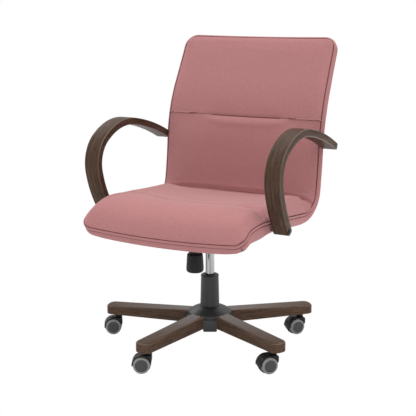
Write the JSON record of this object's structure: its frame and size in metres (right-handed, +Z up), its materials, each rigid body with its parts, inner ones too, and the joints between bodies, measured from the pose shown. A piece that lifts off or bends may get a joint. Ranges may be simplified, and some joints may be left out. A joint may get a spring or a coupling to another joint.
{
  "type": "office chair",
  "caption": "Swivel chair on castors: wooden star base, gas lift and tilt carry a fabric-covered bent shell with a low back, held between two curved wooden arms.",
  "frame": {"origin": "on the floor, on the axis of the gas column", "axes": "+Z up along the column, -Y the way the sitter faces, +X the sitter's left"},
  "size_m": [0.6778, 0.7195, 0.9491],
  "materials": {
    "walnut_stained_wood": "satin stain",
    "rose_fabric": "matt, fine nap",
    "black_lining": "matt",
    "birch_plywood": "raw",
    "black_plastic": "satin",
    "dark_grey_plastic": "satin",
    "grey_tread": "matt",
    "polished_chrome": "polished",
    "zinc_steel": "zinc plated",
    "black_painted_steel": "powder coat"
  },
  "bodies": {
    "star_base": {"hub": "black_plastic", "hub_plate": "zinc_steel", "hub_cover": "black_plastic", "leg_1": "walnut_stained_wood", "leg_2": "walnut_stained_wood", "leg_3": "walnut_stained_wood", "leg_4": "walnut_stained_wood", "leg_5": "walnut_stained_wood", "column_tube": "black_painted_steel", "guide_bush": "black_plastic", "lift_rod": "zinc_steel", "column_cover": "black_plastic"},
    "castor_1": {"castor_1_hood": "black_plastic"},
    "wheel_1_a": {"castor_1_wheel_a": "dark_grey_plastic", "castor_1_tyre_a": "grey_tread"},
    "wheel_1_b": {"castor_1_wheel_b": "dark_grey_plastic", "castor_1_tyre_b": "grey_tread"},
    "castor_2": {"castor_2_hood": "black_plastic"},
    "wheel_2_a": {"castor_2_wheel_a": "dark_grey_plastic", "castor_2_tyre_a": "grey_tread"},
    "wheel_2_b": {"castor_2_wheel_b": "dark_grey_plastic", "castor_2_tyre_b": "grey_tread"},
    "castor_3": {"castor_3_hood": "black_plastic"},
    "wheel_3_a": {"castor_3_wheel_a": "dark_grey_plastic", "castor_3_tyre_a": "grey_tread"},
    "wheel_3_b": {"castor_3_wheel_b": "dark_grey_plastic", "castor_3_tyre_b": "grey_tread"},
    "castor_4": {"castor_4_hood": "black_plastic"},
    "wheel_4_a": {"castor_4_wheel_a": "dark_grey_plastic", "castor_4_tyre_a": "grey_tread"},
    "wheel_4_b": {"castor_4_wheel_b": "dark_grey_plastic", "castor_4_tyre_b": "grey_tread"},
    "castor_5": {"castor_5_hood": "black_plastic"},
    "wheel_5_a": {"castor_5_wheel_a": "dark_grey_plastic", "castor_5_tyre_a": "grey_tread"},
    "wheel_5_b": {"castor_5_wheel_b": "dark_grey_plastic", "castor_5_tyre_b": "grey_tread"},
    "lift": {"piston": "polished_chrome"},
    "turntable": {"tilt_housing": "black_painted_steel", "tilt_spring": "zinc_steel", "tension_bolt": "zinc_steel"},
    "knob": {"tension_knob": "black_plastic"},
    "lever": {"height_lever": "black_painted_steel", "lever_grip": "black_plastic"},
    "seat": {"seat_plate": "black_painted_steel", "tilt_pin": "zinc_steel", "shell": "birch_plywood", "seat_cushion": "rose_fabric", "back_cushion": "rose_fabric", "under_cover": "black_lining", "rear_cover": "rose_fabric", "arm_left": "walnut_stained_wood", "arm_right": "walnut_stained_wood", "arm_stud_seat_left": "black_painted_steel", "arm_stud_seat_right": "black_painted_steel", "arm_stud_back_left": "black_painted_steel", "arm_stud_back_right": "black_painted_steel"}
  },
  "joints": [
    {"name": "castor_1_swivel", "type": "hinge", "parent": "star_base", "child": "castor_1", "pos_m": [-0.14768, 0.27199, 0.067], "axis": [0, 0, 1], "continuous": true},
    {"name": "wheel_1_a_spin", "type": "hinge", "parent": "castor_1", "child": "wheel_1_a", "pos_m": [-0.13681, 0.25641, 0.025], "axis": [0.8202, 0.5721, 0], "continuous": true},
    {"name": "wheel_1_b_spin", "type": "hinge", "parent": "castor_1", "child": "wheel_1_b", "pos_m": [-0.13681, 0.25641, 0.025], "axis": [0.8202, 0.5721, 0], "continuous": true},
    {"name": "castor_2_swivel", "type": "hinge", "parent": "star_base", "child": "castor_2", "pos_m": [-0.30432, -0.0564, 0.067], "axis": [0, 0, 1], "continuous": true},
    {"name": "wheel_2_a_spin", "type": "hinge", "parent": "castor_2", "child": "wheel_2_a", "pos_m": [-0.32009, -0.067, 0.025], "axis": [0.5577, -0.83, 0], "continuous": true},
    {"name": "wheel_2_b_spin", "type": "hinge", "parent": "castor_2", "child": "wheel_2_b", "pos_m": [-0.32009, -0.067, 0.025], "axis": [0.5577, -0.83, 0], "continuous": true},
    {"name": "castor_3_swivel", "type": "hinge", "parent": "star_base", "child": "castor_3", "pos_m": [-0.0404, -0.30685, 0.067], "axis": [0, 0, 1], "continuous": true},
    {"name": "wheel_3_a_spin", "type": "hinge", "parent": "castor_3", "child": "wheel_3_a", "pos_m": [-0.05719, -0.31574, 0.025], "axis": [0.4679, -0.8838, 0], "continuous": true},
    {"name": "wheel_3_b_spin", "type": "hinge", "parent": "castor_3", "child": "wheel_3_b", "pos_m": [-0.05719, -0.31574, 0.025], "axis": [0.4679, -0.8838, 0], "continuous": true},
    {"name": "castor_4_swivel", "type": "hinge", "parent": "star_base", "child": "castor_4", "pos_m": [0.27935, -0.13324, 0.067], "axis": [0, 0, 1], "continuous": true},
    {"name": "wheel_4_a_spin", "type": "hinge", "parent": "castor_4", "child": "wheel_4_a", "pos_m": [0.26711, -0.14778, 0.025], "axis": [0.7649, -0.6441, 0], "continuous": true},
    {"name": "wheel_4_b_spin", "type": "hinge", "parent": "castor_4", "child": "wheel_4_b", "pos_m": [0.26711, -0.14778, 0.025], "axis": [0.7649, -0.6441, 0], "continuous": true},
    {"name": "castor_5_swivel", "type": "hinge", "parent": "star_base", "child": "castor_5", "pos_m": [0.21305, 0.2245, 0.067], "axis": [0, 0, 1], "continuous": true},
    {"name": "wheel_5_a_spin", "type": "hinge", "parent": "castor_5", "child": "wheel_5_a", "pos_m": [0.20132, 0.20955, 0.025], "axis": [0.7869, -0.617, 0], "continuous": true},
    {"name": "wheel_5_b_spin", "type": "hinge", "parent": "castor_5", "child": "wheel_5_b", "pos_m": [0.20132, 0.20955, 0.025], "axis": [0.7869, -0.617, 0], "continuous": true},
    {"name": "gas_lift", "type": "slide", "parent": "star_base", "child": "lift", "axis": [0, 0, 1], "range_m": [-0.04, 0.04]},
    {"name": "seat_turn", "type": "hinge", "parent": "lift", "child": "turntable", "pos_m": [0, 0, 0.34], "axis": [0, 0, 1], "continuous": true},
    {"name": "seat_tilt", "type": "hinge", "parent": "turntable", "child": "seat", "pos_m": [0, -0.035, 0.362], "axis": [-1, 0, 0], "range_deg": [0, 12], "stiffness_Nm_per_rad": 60, "springref_deg": -17.19},
    {"name": "tension_knob_turn", "type": "hinge", "parent": "turntable", "child": "knob", "pos_m": [0, -0.096, 0.286], "axis": [0, 0, 1], "range_deg": [-720, 720]},
    {"name": "height_lever_lift", "type": "hinge", "parent": "turntable", "child": "lever", "pos_m": [-0.0325, 0.02, 0.35], "axis": [0, 1, 0], "range_deg": [0, 5], "stiffness_Nm_per_rad": 2, "springref_deg": -5.73}
  ]
}
